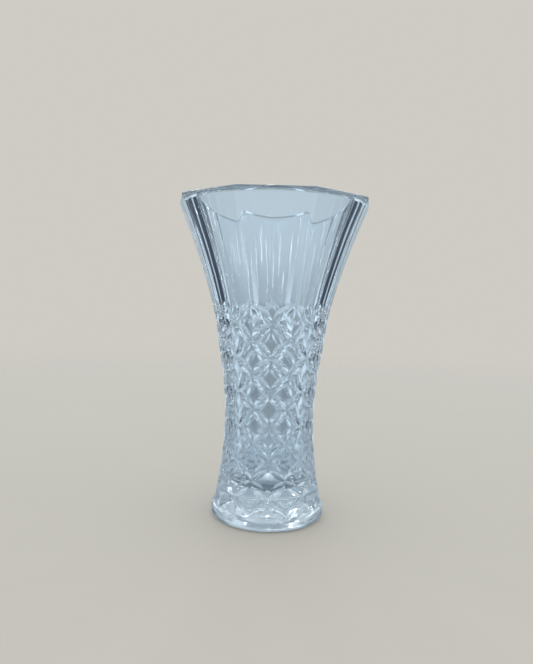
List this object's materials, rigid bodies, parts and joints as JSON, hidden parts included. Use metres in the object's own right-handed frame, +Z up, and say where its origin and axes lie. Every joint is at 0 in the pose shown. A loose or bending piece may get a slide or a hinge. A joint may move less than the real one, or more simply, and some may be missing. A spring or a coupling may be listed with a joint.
{
  "type": "vase",
  "caption": "Trumpet-shaped clear crystal vase with a panelled flare, a petal-cut lattice body, a thick solid base and a rounded foot.",
  "frame": {"origin": "centre of the ring that the vase stands on, at table height", "axes": "+Z up along the vase's axis; a flat panel faces -Y, and a ridge between two panels faces +Y"},
  "size_m": [0.154, 0.1517, 0.25],
  "materials": {
    "crystal": "clear, faintly blue, fire-polished crystal"
  },
  "bodies": {
    "root": {"foot": "crystal", "base": "crystal", "cut_wall": "crystal", "panel_wall": "crystal", "lip": "crystal"}
  },
  "joints": []
}
